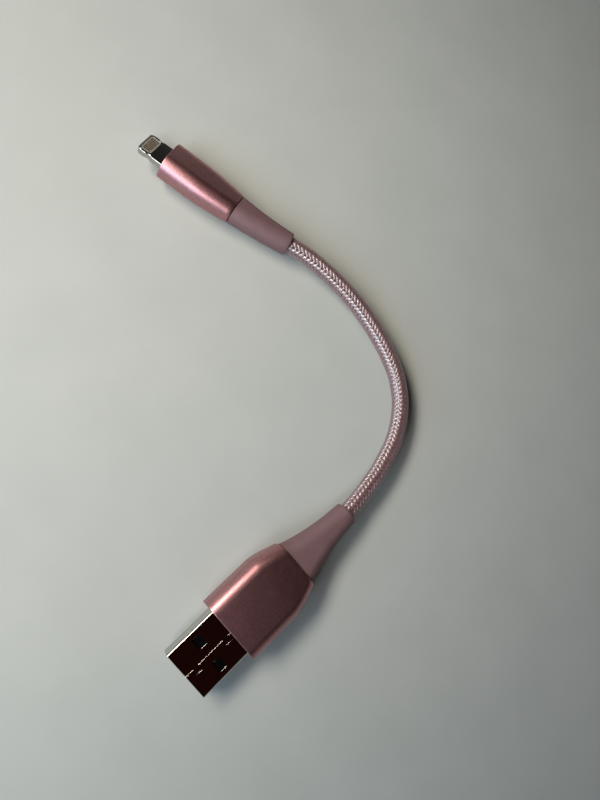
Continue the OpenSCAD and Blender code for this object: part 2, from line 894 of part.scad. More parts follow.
module phone_housing() {
    r = edge_round;
    outer = concat(
        [station_ring(phone_at(phone_front, r))],
        [station_ring(phone_at(phone_front + 0.3 * r, 0.3 * r))],
        phone_rings(concat([phone_front + r], phone_mid), 0),
        [station_ring(phone_at(phone_back - 0.4 * r, 0))],
        [station_ring(phone_at(phone_back, 0.4 * r))]);
    bore = phone_rings(concat([phone_front + housing_wall], phone_mid,
        [phone_back + past]), housing_wall);
    color(rose_gold)
        phone_place()
            difference() {
                skin(outer);
                skin(bore);
                block([phone_front - past, -phone_plug_width / 2 - fit,
                        -phone_plug_thickness / 2 - fit],
                    [phone_front + 2 * past, phone_plug_width / 2 + fit,
                        phone_plug_thickness / 2 + fit]);
            }
}

module phone_inner_mould() {
    stations = [for (x = concat([phone_front + housing_wall + fit],
        phone_mid, [phone_mould_end])) if (x <= phone_mould_end) x];
    color(mould_white)
        phone_place()
            difference() {
                skin(phone_rings(stations, housing_wall + fit));
                block([phone_front, -phone_plug_width / 2 - fit,
                        -phone_plug_thickness / 2 - fit],
                    [shield_start + past, phone_plug_width / 2 + fit,
                        phone_plug_thickness / 2 + fit]);
                bar(shield_start - fit, shield_end + fit,
                    shield_width + 2 * fit, shield_height + 2 * fit,
                    shield_corner + fit);
                cable_room(shield_end - past, phone_mouth, phone_clip_start,
                    phone_clip_length);
            }
}

// Ring of the phone relief, carried along its leaning middle line
function lean_ring(s, roll) =
    let (a = lean_angle(s[0]), c = [s[0], lean_y(s[0])])
    [for (p = section(s[1], s[2], s[3], roll))
        let (t = turn([0, p[0]], a)) [c[0] + t[0], c[1] + t[1], p[1]]];

// Share of the phone relief's root that is left at t of its length
function phone_relief_share(t) = pow(1 - t, 1.2);

module phone_strain_relief() {
    root_width = phone_back_width - 2 * phone_relief_step;
    root_height = phone_back_thickness - 2 * phone_relief_step;
    root = [for (x = [phone_mould_end + fit, phone_seat])
        lean_ring(phone_at(x, housing_wall + fit), phone_roll)];
    body = [for (t = [0, 0.25, 0.5, 0.75, 1])
        lean_ring(relief_at(phone_seat + t * (phone_mouth - phone_seat),
            root_width, root_height, phone_relief_share(t),
            phone_relief_share(t)), phone_roll)];
    bore_line = [phone_line(phone_back), phone_relief_line[1],
        phone_relief_line[0], phone_line(phone_mouth),
        phone_line(phone_mouth + past)];
    color(pink_rubber)
        difference() {
            phone_level_place()
                skin(concat(root, body));
            phone_level_place()
                round_bar(phone_mould_end, phone_seat + past,
                    jacket_diameter + 2 * fit);
            skin([for (i = [0 : len(bore_line) - 1])
                ring(bore_line, i, cord_diameter / 2 + fit, sleeve_sides)]);
        }
}

charger_shell();
charger_insulator();
charger_contact_power();
charger_contact_data_minus();
charger_contact_data_plus();
charger_contact_ground();
charger_solder_joints();
charger_cable_clip();
charger_inner_mould();
charger_housing();
charger_strain_relief();
braided_sleeve();
cable_jacket();
power_wire();
data_minus_wire();
data_plus_wire();
ground_wire();
phone_plug_frame();
phone_plug_insert();
phone_contacts_top();
phone_contacts_bottom();
phone_board();
phone_chip();
phone_solder_joints();
phone_shield_upper();
phone_shield_lower();
phone_cable_clip();
phone_inner_mould();
phone_housing();
phone_strain_relief();
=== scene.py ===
"""Looks of a short braided charging cable that lies in an open curve on paper."""

import math

import bmesh
import bpy
from mathutils import Matrix, Vector


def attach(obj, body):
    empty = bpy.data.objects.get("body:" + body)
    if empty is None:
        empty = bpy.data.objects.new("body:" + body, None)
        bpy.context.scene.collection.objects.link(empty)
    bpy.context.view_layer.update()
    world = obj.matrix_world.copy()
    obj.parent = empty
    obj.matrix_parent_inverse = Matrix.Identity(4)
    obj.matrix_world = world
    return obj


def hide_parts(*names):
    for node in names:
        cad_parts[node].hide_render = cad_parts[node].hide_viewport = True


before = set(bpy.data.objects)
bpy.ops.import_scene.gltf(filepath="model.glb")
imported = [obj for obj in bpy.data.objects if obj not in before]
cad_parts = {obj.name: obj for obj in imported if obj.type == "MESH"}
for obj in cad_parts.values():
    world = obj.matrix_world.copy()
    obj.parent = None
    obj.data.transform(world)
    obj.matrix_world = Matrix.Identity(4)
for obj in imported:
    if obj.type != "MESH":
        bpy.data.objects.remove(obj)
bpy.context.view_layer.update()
MM = 0.001

# ---- Sizes in millimetres and degrees, as in the part's source ----

CORD_DIAMETER = 4.2
CHARGER_AXIS = 4.1  # height of the charger plug's axis above the table
PHONE_AXIS = 3.962
CORD_HEIGHT = 3.3
CHARGER_YAW = 41.4
PHONE_YAW = -31.4
PHONE_ROLL = -22
RELIEF_BEND = 7  # sideways bend of the phone relief

# Stations along each plug, from its tip back
CHARGER_FRONT = 12.0
CHARGER_BEND = 24.7
CHARGER_BACK = 31.6
CHARGER_MOUTH = 48.4
PHONE_FRONT = 6.5
PHONE_BEND = 15.3
PHONE_BACK = 24.7
PHONE_MOUTH = 39.6

FIT = 0.05
WALL = 0.8

# Points of the cord's middle line: x, y, and the shares of the way up from the
# cord's own height to the charger plug's axis and to the phone plug's axis
ROUTE = [
    (24.2, -24.4, 1, 0), (28, -20.5, 0.9, 0), (32, -15.8, 0.6, 0),
    (35, -11.3, 0.3, 0), (37.3, -6.9, 0.1, 0), (38.7, -2, 0, 0),
    (39.1, 3, 0, 0), (38.2, 8.5, 0, 0), (36.2, 13.4, 0, 0),
    (33.2, 18.6, 0, 0.1), (30, 23.1, 0, 0.2), (26.5, 27.1, 0, 0.4),
    (22.6, 30.7, 0, 0.6), (18.5, 33.9, 0, 0.8), (14.3, 36.6, 0, 0.95),
    (10.1, 38.7, 0, 1),
]


def route_point(p):
    x, y, charger_share, phone_share = p
    z = CORD_HEIGHT + charger_share * (CHARGER_AXIS - CORD_HEIGHT)
    return Vector((x, y, z + phone_share * (PHONE_AXIS - CORD_HEIGHT))) * MM


# ---- Places of the two plugs ----


def lean(x):
    """Sideways lean of the phone relief at x from the plug's tip."""
    if x < PHONE_BACK:
        return 0.0
    rate = math.tan(math.radians(RELIEF_BEND)) / (2 * (PHONE_MOUTH - PHONE_BACK))
    return rate * (x - PHONE_BACK) ** 2


def plug_matrix(end, yaw, mouth, sideways=0.0):
    """Turns a plug's own sizes into its place, with its mouth at the cord's end."""
    return (Matrix.Translation(end) @ Matrix.Rotation(math.radians(yaw), 4, "Z")
            @ Matrix.Scale(MM, 4) @ Matrix.Translation((-mouth, -sideways, 0)))


CHARGER = plug_matrix(route_point(ROUTE[0]), CHARGER_YAW, CHARGER_MOUTH)
PHONE_LEVEL = plug_matrix(route_point(ROUTE[-1]), PHONE_YAW, PHONE_MOUTH, lean(PHONE_MOUTH))
PHONE_TURN = Matrix.Rotation(math.radians(PHONE_ROLL), 4, "X")


def on_charger(p):
    return CHARGER @ p


def on_phone(p):
    """The phone end's own sizes, rolled about its axis and then leant sideways."""
    q = PHONE_TURN @ Vector((0, p.y, p.z))
    slope = math.atan(2 * lean(p.x) / max(p.x - PHONE_BACK, 1e-6))
    return PHONE_LEVEL @ Vector((p.x - q.y * math.sin(slope),
                                 lean(p.x) + q.y * math.cos(slope), q.z))


# ---- Camera ----

CAMERA_PLACE = Vector((-0.03004, -0.01795, 0.13486))
CAMERA_RIGHT = Vector((0.95006, 0, 0.31205))
CAMERA_UP = Vector((-0.04343, 0.99027, 0.13222))
SENSOR = 36
FOCAL_LENGTH = 27.045


def set_camera():
    data = bpy.data.cameras.new("camera")
    data.sensor_width = SENSOR
    data.lens = FOCAL_LENGTH
    data.clip_start = 0.01
    camera = bpy.data.objects.new("camera", data)
    bpy.context.collection.objects.link(camera)
    axes = Matrix((CAMERA_RIGHT, CAMERA_UP, CAMERA_RIGHT.cross(CAMERA_UP)))
    camera.matrix_world = Matrix.Translation(CAMERA_PLACE) @ axes.transposed().to_4x4()
    bpy.context.scene.camera = camera


set_camera()

# ---- Shader nodes ----

NOISE_LOW, NOISE_HIGH = 0.3, 0.7  # nearly all of a noise lies between these


def finish_of(name, colour, roughness, metallic=0.0, specular=0.5):
    """A new material with these numbers on its shader."""
    made = bpy.data.materials.new(name)
    made.use_nodes = True
    shader = shader_of(made)
    shader.inputs["Base Color"].default_value = (*colour, 1)
    shader.inputs["Roughness"].default_value = roughness
    shader.inputs["Metallic"].default_value = metallic
    shader.inputs["Specular IOR Level"].default_value = specular
    return made


def shader_of(made):
    return made.node_tree.nodes["Principled BSDF"]


def add(made, kind, **settings):
    """A node in a material or world, with its settings and its input values."""
    node = made.node_tree.nodes.new("ShaderNode" + kind)
    for key, value in settings.items():
        if hasattr(node, key):
            setattr(node, key, value)
        else:
            node.inputs[key.replace("_", " ")].default_value = value
    return node


def join(made, out, into):
    made.node_tree.links.new(out, into)


def maths(made, operation, first, second=None):
    """What a maths node gives for an output and another output or a number."""
    node = add(made, "Math", operation=operation)
    join(made, first, node.inputs[0])
    if isinstance(second, (int, float)):
        node.inputs[1].default_value = second
    elif second is not None:
        join(made, second, node.inputs[1])
    return node.outputs[0]


def mixed(made, share, first, second):
    """A colour that runs from first to second, each a colour or an output."""
    node = add(made, "Mix", data_type="RGBA")
    join(made, share, node.inputs[0])
    for socket, value in ((node.inputs[6], first), (node.inputs[7], second)):
        if isinstance(value, (tuple, list)):
            socket.default_value = (*value, 1)
        else:
            join(made, value, socket)
    return node.outputs[2]


def grain(made, scale, stretch=(1, 1, 1), detail=3.0):
    """Noise on the object's own place, in cells per metre."""
    place = add(made, "TexCoord")
    mapping = add(made, "Mapping", Scale=stretch)
    noise = add(made, "TexNoise", Scale=scale, Detail=detail)
    join(made, place.outputs["Object"], mapping.inputs["Vector"])
    join(made, mapping.outputs[0], noise.inputs["Vector"])
    return noise.outputs["Fac"]


def spread(made, value, low, high, given=(NOISE_LOW, NOISE_HIGH)):
    """The value, spread from its given range to low and high."""
    node = add(made, "MapRange", From_Min=given[0], From_Max=given[1],
               To_Min=low, To_Max=high)
    join(made, value, node.inputs["Value"])
    return node.outputs[0]


def tint(made, share, first, second):
    join(made, mixed(made, share, first, second), shader_of(made).inputs["Base Color"])


def roughen(made, value, low, high):
    join(made, spread(made, value, low, high), shader_of(made).inputs["Roughness"])


def bumps(made, height, strength, distance):
    node = add(made, "Bump", Strength=strength, Distance=distance)
    join(made, height, node.inputs["Height"])
    join(made, node.outputs[0], shader_of(made).inputs["Normal"])


# ---- Materials ----


def blasted_aluminium():
    """Rose gold anodising over a fine blasted surface, a little paler where it wears."""
    made = finish_of("rose_aluminium", (0.47, 0.24, 0.25), 0.4, 1.0)
    fine = grain(made, 3200, detail=2)
    tint(made, spread(made, fine, 0, 1), (0.4, 0.195, 0.205), (0.54, 0.285, 0.295))
    roughen(made, grain(made, 500), 0.38, 0.42)
    bumps(made, fine, 0.6, 0.00004)
    return made


def soft_rubber():
    made = finish_of("relief_rubber", (0.165, 0.095, 0.1), 0.55)
    tint(made, spread(made, grain(made, 500), 0, 1), (0.157, 0.088, 0.093),
         (0.175, 0.102, 0.107))
    fine = grain(made, 6000)
    roughen(made, fine, 0.5, 0.62)
    bumps(made, fine, 0.15, 0.00002)
    return made


def plated_steel(name, colour, low, high, waviness=0.05):
    """Steel with fine streaks, whose roughness runs from low to high."""
    made = finish_of(name, colour, low, 1.0)
    streaks = grain(made, 900, (1, 6, 6))
    tint(made, spread(made, streaks, 0, 1), [0.9 * c for c in colour], colour)
    roughen(made, streaks, low, high)
    bumps(made, streaks, waviness, 0.00001)
    return made


def moulded_plastic(name, colour, roughness, specular=0.5):
    made = finish_of(name, colour, roughness, specular=specular)
    tint(made, spread(made, grain(made, 700), 0, 1), [0.88 * c for c in colour], colour)
    fine = grain(made, 5000)
    roughen(made, fine, roughness - 0.06, roughness + 0.06)
    bumps(made, fine, 0.1, 0.00001)
    return made


def gold_plate():
    made = finish_of("contact_gold", (0.75, 0.5, 0.2), 0.22, 1.0)
    scuffs = grain(made, 2500, (1, 4, 4))
    tint(made, spread(made, scuffs, 0, 1), (0.66, 0.42, 0.15), (0.8, 0.55, 0.24))
    roughen(made, scuffs, 0.16, 0.3)
    bumps(made, scuffs, 0.06, 0.00001)
    return made


def braided_nylon():
    """Silky threads along each strand: the map's U counts the strands, V runs along."""
    made = finish_of("braid", (0.16, 0.075, 0.08), 0.4, specular=1.0)
    shader = shader_of(made)
    shader.inputs["IOR"].default_value = 2.0
    shader.inputs["Sheen Weight"].default_value = 0.35
    shader.inputs["Sheen Roughness"].default_value = 0.45
    shader.inputs["Sheen Tint"].default_value = (0.9, 0.8, 0.88, 1)
    place = add(made, "UVMap", uv_map="braid")
    parts = add(made, "SeparateXYZ")
    join(made, place.outputs[0], parts.inputs[0])
    ridges = maths(made, "SINE", maths(made, "MULTIPLY", parts.outputs[0],
                                       2 * math.pi * THREADS))
    thread = maths(made, "FLOOR", maths(made, "MULTIPLY", parts.outputs[0], THREADS))
    lots = add(made, "TexWhiteNoise", noise_dimensions="1D")
    join(made, thread, lots.inputs["W"])
    tint(made, lots.outputs["Value"], (0.13, 0.058, 0.062), (0.18, 0.086, 0.092))
    roughen(made, lots.outputs["Value"], 0.34, 0.44)
    bumps(made, ridges, 0.25, 0.00003)
    shader.inputs["Anisotropic"].default_value = 0.75
    across = add(made, "Tangent", direction_type="UV_MAP", uv_map="braid")
    join(made, across.outputs[0], shader.inputs["Tangent"])
    return made


# ---- Pieces ----


def piece_from(bm, name, made, sharp):
    """The finished piece: its mesh, its material and its ride on the cable."""
    mesh = bpy.data.meshes.new(name)
    bm.to_mesh(mesh)
    bm.free()
    mesh.shade_smooth()
    if sharp < 180:
        mesh.set_sharp_from_angle(angle=math.radians(sharp))
    piece = bpy.data.objects.new(name, mesh)
    bpy.context.collection.objects.link(piece)
    mesh.materials.append(made)
    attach(piece, "root")
    return piece


# ---- The braided cord ----

STRANDS = 12  # in each of the two directions
THREADS = 5  # side by side in a strand
LAY = 12.84 * MM  # length of cord in which a strand goes once round
RISE = 0.42 * MM  # depth of the plait
DIVE = 0.42  # share of the depth by which a strand rises and dives
AROUND = 144  # places around the cord
SHOWN_STEP = 0.134 * MM  # between rings where the cord shows
HIDDEN_STEP = 0.6 * MM  # between rings inside the reliefs
OVERLAP = 1.5  # length inside each relief's mouth with the fine rings
ROUGH_STEPS = 600
CURVE_STEPS = 24
OTHER_WAY = 1000  # keeps the leftward strands' threads apart on the map


def smooth_line(points, steps):
    """Even points along a curve through the route, as a Catmull-Rom spline."""
    ends = [2 * points[0] - points[1], *points, 2 * points[-1] - points[-2]]
    fine = []
    for a, b, c, d in zip(ends, ends[1:], ends[2:], ends[3:]):
        for k in range(CURVE_STEPS):
            t = k / CURVE_STEPS
            fine.append(0.5 * (2 * b + (c - a) * t + (2 * a - 5 * b + 4 * c - d) * t**2
                               + (3 * b - 3 * c + d - a) * t**3))
    fine.append(points[-1])
    lengths = [0.0]
    for a, b in zip(fine, fine[1:]):
        lengths.append(lengths[-1] + (b - a).length)
    line, j = [], 0
    for k in range(steps + 1):
        want = lengths[-1] * k / steps
        while j < len(fine) - 2 and lengths[j + 1] < want:
            j += 1
        share = (want - lengths[j]) / max(lengths[j + 1] - lengths[j], 1e-12)
        line.append(fine[j].lerp(fine[j + 1], share))
    return line, lengths[-1]


def along(line, share):
    """The point at that share of a line of evenly spaced points."""
    place = min(max(share, 0.0), 1.0) * (len(line) - 1)
    k = min(int(place), len(line) - 2)
    return line[k].lerp(line[k + 1], place - k)


def cord_points():
    """The cord's middle line from the charger housing to the phone housing."""
    start = on_charger(Vector((CHARGER_BACK + FIT, 0, 0)))
    half = on_charger(Vector(((CHARGER_BACK + CHARGER_MOUTH) / 2, 0, 0)))
    inside = [on_phone(Vector((PHONE_BACK + FIT + t * (PHONE_MOUTH - PHONE_BACK - FIT), 0, 0)))
              for t in (2 / 3, 1 / 3, 0)]
    return [start, half, *[route_point(p) for p in ROUTE], *inside]


def strand_heights(turn, lays):
    """Heights of the two strands that cross there: each goes over two and under two."""
    heights = []
    for count, other, side in ((STRANDS * (turn + lays), STRANDS * (turn - lays), 1),
                               (STRANDS * (turn - lays), STRANDS * (turn + lays), 3)):
        index = math.floor(count + 1e-9)
        back = max(0.0, 1 - (2 * (count - index) - 1) ** 4)
        sway = math.cos(math.pi / 2 * (other + index - side))
        heights.append(DIVE * (1 + sway) / 2 + (1 - DIVE) * back)
    return heights


def ring_places(length, shown_from, shown_to):
    """Distances along the cord of its rings, close together where it shows."""
    places = [0.0]
    while places[-1] < length:
        shown = shown_from < places[-1] < shown_to
        places.append(places[-1] + (SHOWN_STEP if shown else HIDDEN_STEP))
    return [p * length / places[-1] for p in places]


def ring_frames(line):
    """Each ring's middle, its leftward direction and its upward direction."""
    frames = []
    for k, middle in enumerate(line):
        ahead = (line[min(k + 1, len(line) - 1)] - line[max(k - 1, 0)]).normalized()
        left = Vector((0, 0, 1)).cross(ahead).normalized()
        frames.append((middle, left, ahead.cross(left)))
    return frames


def map_threads(bm, braid_map, cells, heights, places):
    """Maps each face along the strand that lies on top there."""
    for face in bm.faces:
        rightward = sum(heights[v][0] - heights[v][1] for v in face.verts) > 0
        for loop in face.loops:
            k, j = cells[loop.vert]
            turn, lays = j / AROUND, places[k] / LAY
            if rightward:
                loop[braid_map].uv = (STRANDS * (turn + lays), STRANDS * (lays - turn))
            else:
                loop[braid_map].uv = (STRANDS * (turn - lays) + 0.5 / THREADS + OTHER_WAY,
                                      STRANDS * (lays + turn))


def braided_cord():
    rough, length = smooth_line(cord_points(), ROUGH_STEPS)
    charger_hides = (CHARGER_MOUTH - CHARGER_BACK - OVERLAP) * MM
    phone_hides = (PHONE_MOUTH - PHONE_BACK - OVERLAP) * MM
    places = ring_places(length, charger_hides, length - phone_hides)
    rings = len(places) - 1
    line = [along(rough, p / length) for p in places]
    bm = bmesh.new()
    bmesh.ops.create_grid(bm, x_segments=rings, y_segments=AROUND, size=0.5, calc_uvs=False)
    braid_map = bm.loops.layers.uv.new("braid")
    cells = {v: (round((v.co.x + 0.5) * rings), round((v.co.y + 0.5) * AROUND))
             for v in bm.verts}
    heights = {v: strand_heights(j / AROUND, places[k] / LAY) for v, (k, j) in cells.items()}
    map_threads(bm, braid_map, cells, heights, places)
    frames = ring_frames(line)
    for v, (k, j) in cells.items():
        middle, left, over = frames[k]
        radius = CORD_DIAMETER * MM / 2 - RISE * (1 - max(heights[v]))
        angle = 2 * math.pi * j / AROUND - math.pi / 2
        v.co = middle + radius * (math.cos(angle) * left + math.sin(angle) * over)
    bmesh.ops.remove_doubles(bm, verts=bm.verts, dist=1e-7)
    bmesh.ops.holes_fill(bm, edges=[e for e in bm.edges if e.is_boundary])
    bmesh.ops.recalc_face_normals(bm, faces=bm.faces)
    piece = piece_from(bm, "braided_sleeve_plait", BRAID, 180)
    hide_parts("braided_sleeve")


BRAID = braided_nylon()
braided_cord()

# ---- Lofted housings and reliefs ----

RING_POINTS = 96


def outline(bm, station, place):
    """A rounded rectangle across the plug at one station; returns its edges."""
    x, width, height, corner = station
    verts = bmesh.ops.create_circle(bm, segments=RING_POINTS, radius=1)["verts"]
    quarter = RING_POINTS // 4
    for k, v in enumerate(verts):
        side, step = divmod(k, quarter)
        angle = math.radians(90 * (side + step / (quarter - 1)))
        y = (width / 2 - corner) * (1 if side in (0, 3) else -1)
        z = (height / 2 - corner) * (1 if side < 2 else -1)
        v.co = place(Vector((x, y + corner * math.cos(angle), z + corner * math.sin(angle))))
    return list({e for v in verts for e in v.link_edges})


def loft(name, stations, place, made, node, sharp):
    """A closed skin through the stations, whose last one meets the first."""
    bm = bmesh.new()
    loops = [outline(bm, s, place) for s in stations]
    for first, second in zip(loops, loops[1:] + loops[:1]):
        bmesh.ops.bridge_loops(bm, edges=first + second)
    bmesh.ops.recalc_face_normals(bm, faces=bm.faces)
    piece = piece_from(bm, name, made, sharp)
    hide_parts(node)


def inset(station, by):
    x, width, height, corner = station
    return (x, width - 2 * by, height - 2 * by, max(corner - by, 0.05))


EDGE_ROUND = 0.15  # radius of the housings' front edge
EDGE_STEPS = 5
HOUSING_CORNER = 3.0
TAPER_EASE = 1.35
TAPER_SHARES = (-0.02, 0.02, 0.1, 0.2, 0.3, 0.4, 0.5, 0.6, 0.7, 0.8, 0.9)
OPENING_BEVEL = 0.06
BACK_LIP = 0.12


def housing_station(x, bend, back, front_size, back_size):
    share = max(0.0, min(1.0, (x - bend) / (back - bend))) ** TAPER_EASE
    width = front_size[0] + (back_size[0] - front_size[0]) * share
    height = front_size[1] + (back_size[1] - front_size[1]) * share
    return (x, width, height, min(HOUSING_CORNER, height / 2 - 0.02))


def housing(name, front, bend, back, front_size, back_size, opening, place, node):
    """Front opening, rounded front edge, straight side, taper, back lip and bore."""
    def at(x):
        return housing_station(x, bend, back, front_size, back_size)

    open_width, open_height, open_corner = opening
    hole = (open_width + 2 * FIT, open_height + 2 * FIT, open_corner + FIT)
    outer = []
    for k in range(EDGE_STEPS, -1, -1):
        turn = math.radians(90 * k / EDGE_STEPS)
        outer.append(inset((front + EDGE_ROUND * (1 - math.sin(turn)), *at(front)[1:]),
                           EDGE_ROUND * (1 - math.cos(turn))))
    steps = [bend + (back - bend) * t for t in TAPER_SHARES]
    stations = [(front + WALL, *hole), (front + OPENING_BEVEL, *hole),
                inset((front, *hole), -OPENING_BEVEL)]
    stations += outer + [at(x) for x in steps]
    stations += [at(back - BACK_LIP), inset(at(back), BACK_LIP / 2)]
    stations += [inset(at(back), WALL - 0.08), inset(at(back - 0.1), WALL)]
    stations += [inset(at(x), WALL) for x in reversed(steps)]
    stations += [inset((front + WALL, *at(front)[1:]), WALL)]
    loft(name, stations, place, ALUMINIUM, node, 30)


ALUMINIUM = blasted_aluminium()
RUBBER = soft_rubber()

housing("charger_housing_shell", CHARGER_FRONT, CHARGER_BEND, CHARGER_BACK, (15.9, 8.2),
        (12.3, 7.2), (12.0, 4.5, 0.65), on_charger, "charger_housing")
housing("phone_housing_shell", PHONE_FRONT, PHONE_BEND, PHONE_BACK, (9.9, 6.5),
        (8.2, 6.0), (6.7, 1.5, 0.1), on_phone, "phone_housing")

RELIEF_END = 5.6  # diameter at the mouth
COLLAR_LENGTH = 1.9  # of the relief's narrower start inside the housing
COLLAR_STEP = (1.2, 1.3)  # by which it is narrower and lower than the relief
RELIEF_EDGE = (0.2, 0.3)  # length and depth of the soft front edge
MOUTH_EDGES = ((0.25, 0), (0.07, 0.07), (0, 0.25))  # distance from the mouth, depth
ROUND_SLACK = 0.02  # keeps a station's corners just under half its height


def rounded(x, width, height):
    return (x, width, height, min(width, height) / 2 - ROUND_SLACK)


def relief(name, back, mouth, root, shares, place, node):
    """Tapered relief: a bore for the cord, a soft front edge and the tapered side."""
    seat, bore = back + FIT, CORD_DIAMETER + 2 * FIT
    side = [rounded(seat + share * (mouth - seat), RELIEF_END + (root[0] - RELIEF_END) * wide,
                    RELIEF_END + (root[1] - RELIEF_END) * high)
            for share, wide, high in shares]
    collar = (root[0] - COLLAR_STEP[0], root[1] - COLLAR_STEP[1], root[1] / 2 - 0.7)
    stations = [(seat - COLLAR_LENGTH, *collar), (seat - 0.02, *collar),
                inset(side[0], RELIEF_EDGE[1]), (seat + RELIEF_EDGE[0], *side[0][1:])]
    stations += side[1:-1]
    stations += [inset((mouth - before, *side[-1][1:]), depth) for before, depth in MOUTH_EDGES]
    stations += [rounded(mouth, bore + 0.2, bore + 0.2), rounded(mouth - 0.1, bore, bore),
                 rounded(seat - COLLAR_LENGTH, bore - 1, bore - 1)]
    loft(name, stations, place, RUBBER, node, 40)


def blended(points, count):
    """Shares between the given ones, eased so that the side has no corners."""
    made = []
    for k in range(count + 1):
        t = k / count
        i = max(j for j in range(len(points) - 1) if points[j][0] <= t)
        a, b = points[i], points[i + 1]
        p = points[i - 1] if i else a
        n = points[i + 2] if i + 2 < len(points) else b
        f = (t - a[0]) / (b[0] - a[0])
        row = [t]
        for c in (1, 2):
            rise_a = (b[c] - p[c]) / max(b[0] - p[0], 1e-6) * (b[0] - a[0])
            rise_b = (n[c] - a[c]) / max(n[0] - a[0], 1e-6) * (b[0] - a[0])
            row.append((2 * f**3 - 3 * f**2 + 1) * a[c] + (f**3 - 2 * f**2 + f) * rise_a
                       + (3 * f**2 - 2 * f**3) * b[c] + (f**3 - f**2) * rise_b)
        made.append(row)
    return made


# Share of the relief's length, and what is left there of its width and height
CHARGER_SHARES = [(0, 1, 1), (0.16, 0.72, 0.72), (0.33, 0.48, 0.46), (0.6, 0.2, 0.18),
                  (0.84, 0.06, 0.05), (1, 0, 0)]
PHONE_STEPS = 16
PHONE_EASE = 1.2
PHONE_SHARES = [(t / PHONE_STEPS, (1 - t / PHONE_STEPS) ** PHONE_EASE,
                 (1 - t / PHONE_STEPS) ** PHONE_EASE) for t in range(PHONE_STEPS + 1)]
relief("charger_relief_sleeve", CHARGER_BACK, CHARGER_MOUTH, (11.6, 6.5),
       blended(CHARGER_SHARES, 24), on_charger, "charger_strain_relief")
relief("phone_relief_sleeve", PHONE_BACK, PHONE_MOUTH, (7.8, 5.6), PHONE_SHARES,
       on_phone, "phone_strain_relief")

# ---- Stamped and moulded pieces, finished from the solids ----

HARD_EDGE = 35  # least angle in degrees between the faces at an edge to be rounded
KEPT_SHARP = 50


def cut_across(bm, place, stations):
    """Cuts across the plug, so that long faces are shaded evenly."""
    ahead = place(Vector((1, 0, 0))) - place(Vector((0, 0, 0)))
    for x in stations:
        bmesh.ops.bisect_plane(bm, geom=bm.verts[:] + bm.edges[:] + bm.faces[:], dist=1e-8,
                               plane_co=place(Vector((x, 0, 0))), plane_no=ahead)


def finished(node, name, made, round_by, place, cuts, turns=2, lengthwise=-1):
    """A merged copy of a CAD piece with its hard edges rounded.

    Only edges whose direction along the plug is above lengthwise are rounded."""
    bm = bmesh.new()
    bm.from_mesh(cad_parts[node].data)
    bmesh.ops.remove_doubles(bm, verts=bm.verts, dist=2e-7)
    bmesh.ops.dissolve_limit(bm, angle_limit=math.radians(0.5), verts=bm.verts,
                             edges=bm.edges)
    cut_across(bm, place, cuts)
    ahead = (place(Vector((1, 0, 0))) - place(Vector((0, 0, 0)))).normalized()
    hard = [e for e in bm.edges
            if len(e.link_faces) == 2 and e.calc_face_angle() > math.radians(HARD_EDGE)
            and abs((e.verts[0].co - e.verts[1].co).normalized().dot(ahead)) > lengthwise]
    bmesh.ops.bevel(bm, geom=hard, offset=round_by * MM, offset_type="OFFSET",
                    affect="EDGES", segments=turns, profile=0.5, material=-1,
                    clamp_overlap=False)
    piece = piece_from(bm, name, made, KEPT_SHARP)
    flats = piece.modifiers.new("flats", "WEIGHTED_NORMAL")
    flats.mode = "FACE_AREA"
    flats.weight = 100
    flats.keep_sharp = True
    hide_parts(node)


PLUG_STEEL = plated_steel("plug_steel", (0.52, 0.51, 0.47), 0.03, 0.06, 0.01)
GOLD = gold_plate()
finished("charger_shell", "charger_shell_folded", PLUG_STEEL, 0.073, on_charger,
         [0.3 + 0.7 * k for k in range(25)], turns=3, lengthwise=0.95)
finished("phone_plug_frame", "phone_plug_blade", PLUG_STEEL, 0.06, on_phone,
         [0.5 * k for k in range(1, 22)])

# ---- Materials of the solids that show as they are ----

SOLDER = plated_steel("solder", (0.5, 0.51, 0.53), 0.3, 0.45)
CLIP = plated_steel("clip_steel", (0.45, 0.46, 0.48), 0.2, 0.32)
SHIELD = plated_steel("shield_steel", (0.52, 0.52, 0.54), 0.25, 0.38)
MOULD = moulded_plastic("mould_white", (0.72, 0.7, 0.64), 0.45)

CAD_FINISHES = {
    # Near-black and hardly glossy, darker than black plastic: partly the insulator's own black,
    # partly painted shade inside the shell's windows
    "charger_insulator": moulded_plastic("insulator_black", (0.0015, 0.0015, 0.0015), 0.55,
                                         0.04),
    "charger_contact_power": GOLD,
    "charger_contact_data_minus": GOLD,
    "charger_contact_data_plus": GOLD,
    "charger_contact_ground": GOLD,
    "charger_solder_joints": SOLDER,
    "charger_cable_clip": CLIP,
    "charger_inner_mould": MOULD,
    "cable_jacket": moulded_plastic("jacket_black", (0.012, 0.012, 0.014), 0.45),
    "power_wire": moulded_plastic("wire_red", (0.4, 0.01, 0.01), 0.4),
    "data_minus_wire": moulded_plastic("wire_white", (0.7, 0.7, 0.68), 0.4),
    "data_plus_wire": moulded_plastic("wire_green", (0.01, 0.17, 0.04), 0.4),
    "ground_wire": moulded_plastic("wire_black", (0.01, 0.01, 0.012), 0.4),
    "phone_plug_insert": moulded_plastic("insert_grey", (0.3, 0.3, 0.28), 0.35),
    "phone_contacts_top": GOLD,
    "phone_contacts_bottom": GOLD,
    "phone_board": moulded_plastic("board_green", (0.01, 0.09, 0.03), 0.3),
    "phone_chip": moulded_plastic("chip_black", (0.01, 0.01, 0.01), 0.4),
    "phone_solder_joints": SOLDER,
    "phone_shield_upper": SHIELD,
    "phone_shield_lower": SHIELD,
    "phone_cable_clip": CLIP,
    "phone_inner_mould": MOULD,
}
for node, made in CAD_FINISHES.items():
    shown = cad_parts[node]
    shown.data.materials.clear()
    shown.data.materials.append(made)

# ---- Paper, lamps and room ----

